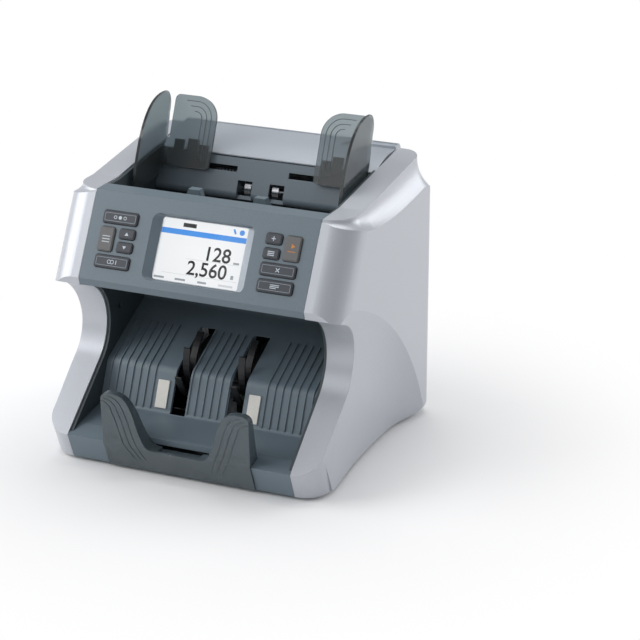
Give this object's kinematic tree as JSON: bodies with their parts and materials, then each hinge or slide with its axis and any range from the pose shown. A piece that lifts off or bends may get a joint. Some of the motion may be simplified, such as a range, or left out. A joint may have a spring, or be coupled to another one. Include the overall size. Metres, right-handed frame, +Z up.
{
  "type": "banknote sorter",
  "caption": "Desktop banknote sorter with a top hopper and sliding smoke guides, a leaning display panel with keys, scooped silver sides and a ribbed stacker pocket behind a clear gate",
  "frame": {"origin": "floor level under the middle of the overall width and depth", "axes": "X to the right of a person facing the keys, Y to the back, Z up"},
  "size_m": [0.268, 0.2412, 0.2816],
  "materials": {
    "silver_abs": "satin silver paint on moulded ABS",
    "bluegrey_abs": "fine moulded texture, blue grey",
    "slate_abs": "fine moulded texture, slate grey",
    "dark_abs": "fine moulded texture, dark grey",
    "black_abs": "moulded, black",
    "smoke_polycarbonate": "clear smoke grey, polished",
    "key_rubber": "moulded key caps, charcoal",
    "display_glass": "clear window",
    "display_panel": "lit screen",
    "circuit_board": "green solder mask",
    "steel": "zinc plated or ground",
    "chrome": "polished",
    "black_rubber": "ground rubber",
    "white_acetal": "white low friction plastic",
    "bronze": "sintered bronze"
  },
  "bodies": {
    "case": {"left_side_panel": "silver_abs", "right_side_panel": "silver_abs", "left_inner_wall": "dark_abs", "right_inner_wall": "dark_abs", "left_frame_plate": "steel", "right_frame_plate": "steel", "base_plate": "steel", "rubber_feet": "black_rubber", "front_tray": "slate_abs", "stacker_gate": "smoke_polycarbonate", "stacker_plate": "slate_abs", "slide_strips": "white_acetal", "control_panel": "bluegrey_abs", "display_window": "display_glass", "lcd_module": "display_panel", "keypad_board": "circuit_board", "hopper_floor": "black_abs", "hopper_rear_wall": "bluegrey_abs", "front_sensor_bar": "black_abs", "drive_motor": "steel", "drive_belt": "black_rubber", "main_board": "circuit_board", "power_supply": "steel", "rear_panel": "dark_abs", "power_inlet": "black_abs", "shaft_bearings": "bronze", "casing_screws": "steel"},
    "left_guide": {"left_feed_guide": "smoke_polycarbonate", "left_guide_carriage": "dark_abs"},
    "right_guide": {"right_feed_guide": "smoke_polycarbonate", "right_guide_carriage": "dark_abs"},
    "pinion": {"guide_pinion": "white_acetal"},
    "pickup": {"pickup_shaft": "steel", "pickup_rollers": "black_rubber", "pickup_pulley": "black_abs"},
    "feed": {"feed_shaft": "steel", "feed_rollers": "black_rubber", "feed_pulley": "black_abs"},
    "transport": {"transport_shaft": "steel", "transport_rollers": "black_rubber", "transport_pulley": "black_abs"},
    "stacker": {"stacker_shaft": "steel", "stacker_wheels": "black_abs", "stacker_pulley": "black_abs"},
    "motor_drive": {"motor_pulley": "black_abs"},
    "separator": {"separator_rollers": "chrome"},
    "door": {"rear_door": "silver_abs", "rear_sensor_bar": "black_abs"},
    "pinch": {"pinch_rollers": "chrome"},
    "switch": {"power_switch": "black_abs"},
    "mode": {"mode_key": "key_rubber"},
    "menu": {"menu_key": "key_rubber"},
    "up": {"up_key": "key_rubber"},
    "down": {"down_key": "key_rubber"},
    "currency": {"currency_key": "key_rubber"},
    "add": {"add_key": "key_rubber"},
    "batch": {"batch_key": "key_rubber"},
    "start": {"start_key": "key_rubber"},
    "clear": {"clear_key": "key_rubber"},
    "report": {"report_key": "key_rubber"}
  },
  "joints": [
    {"name": "right_guide_slide", "type": "slide", "parent": "case", "child": "right_guide", "axis": [-1, 0, 0], "range_m": [-0.0025, 0.03]},
    {"name": "left_guide_slide", "type": "slide", "parent": "case", "child": "left_guide", "axis": [1, 0, 0], "range_m": [-0.0026, 0.0302]},
    {"name": "pinion_turn", "type": "hinge", "parent": "case", "child": "pinion", "pos_m": [0, 0.06209, 0.2217], "axis": [0, 0.9184, -0.3955], "range_deg": [-384, 34]},
    {"name": "transport_spin", "type": "hinge", "parent": "case", "child": "transport", "pos_m": [0, 0.07306, 0.13], "axis": [1, 0, 0], "continuous": true},
    {"name": "pickup_spin", "type": "hinge", "parent": "case", "child": "pickup", "pos_m": [0, 0.00506, 0.184], "axis": [1, 0, 0], "continuous": true},
    {"name": "feed_spin", "type": "hinge", "parent": "case", "child": "feed", "pos_m": [0, 0.05906, 0.176], "axis": [1, 0, 0], "continuous": true},
    {"name": "stacker_spin", "type": "hinge", "parent": "case", "child": "stacker", "pos_m": [0, -0.02094, 0.052], "axis": [1, 0, 0], "continuous": true},
    {"name": "motor_spin", "type": "hinge", "parent": "case", "child": "motor_drive", "pos_m": [0, 0.03306, 0.06], "axis": [1, 0, 0], "continuous": true},
    {"name": "separator_spin", "type": "hinge", "parent": "case", "child": "separator", "pos_m": [0, 0.06156, 0.203], "axis": [1, 0, 0], "continuous": true},
    {"name": "door_hinge", "type": "hinge", "parent": "case", "child": "door", "pos_m": [0, 0.11156, 0.079], "axis": [-1, 0, 0], "range_deg": [0, 55]},
    {"name": "pinch_spin", "type": "hinge", "parent": "door", "child": "pinch", "pos_m": [0, 0.09936, 0.13], "axis": [1, 0, 0], "continuous": true},
    {"name": "switch_rock", "type": "hinge", "parent": "case", "child": "switch", "pos_m": [-0.045, 0.11656, 0.0245], "axis": [1, 0, 0], "range_deg": [0, 11]},
    {"name": "mode_press", "type": "slide", "parent": "case", "child": "mode", "axis": [0, 0.8788, -0.4772], "range_m": [0, 0.0008], "stiffness_N_per_m": 500, "springref_m": -0.0006},
    {"name": "menu_press", "type": "slide", "parent": "case", "child": "menu", "axis": [0, 0.8788, -0.4772], "range_m": [0, 0.0008], "stiffness_N_per_m": 500, "springref_m": -0.0006},
    {"name": "up_press", "type": "slide", "parent": "case", "child": "up", "axis": [0, 0.8788, -0.4772], "range_m": [0, 0.0008], "stiffness_N_per_m": 500, "springref_m": -0.0006},
    {"name": "down_press", "type": "slide", "parent": "case", "child": "down", "axis": [0, 0.8788, -0.4772], "range_m": [0, 0.0008], "stiffness_N_per_m": 500, "springref_m": -0.0006},
    {"name": "currency_press", "type": "slide", "parent": "case", "child": "currency", "axis": [0, 0.8788, -0.4772], "range_m": [0, 0.0008], "stiffness_N_per_m": 500, "springref_m": -0.0006},
    {"name": "add_press", "type": "slide", "parent": "case", "child": "add", "axis": [0, 0.8788, -0.4772], "range_m": [0, 0.0008], "stiffness_N_per_m": 500, "springref_m": -0.0006},
    {"name": "batch_press", "type": "slide", "parent": "case", "child": "batch", "axis": [0, 0.8788, -0.4772], "range_m": [0, 0.0008], "stiffness_N_per_m": 500, "springref_m": -0.0006},
    {"name": "start_press", "type": "slide", "parent": "case", "child": "start", "axis": [0, 0.8788, -0.4772], "range_m": [0, 0.0008], "stiffness_N_per_m": 500, "springref_m": -0.0006},
    {"name": "clear_press", "type": "slide", "parent": "case", "child": "clear", "axis": [0, 0.8788, -0.4772], "range_m": [0, 0.0008], "stiffness_N_per_m": 500, "springref_m": -0.0006},
    {"name": "report_press", "type": "slide", "parent": "case", "child": "report", "axis": [0, 0.8788, -0.4772], "range_m": [0, 0.0008], "stiffness_N_per_m": 500, "springref_m": -0.0006}
  ],
  "couplings": [
    {"joint": "left_guide_slide", "follows": "right_guide_slide", "ratio": 1},
    {"joint": "pinion_turn", "follows": "right_guide_slide", "rad_per_m": -222.22},
    {"joint": "pickup_spin", "follows": "transport_spin", "ratio": 1},
    {"joint": "feed_spin", "follows": "transport_spin", "ratio": 1},
    {"joint": "stacker_spin", "follows": "transport_spin", "ratio": 1},
    {"joint": "motor_spin", "follows": "transport_spin", "ratio": 1}
  ]
}
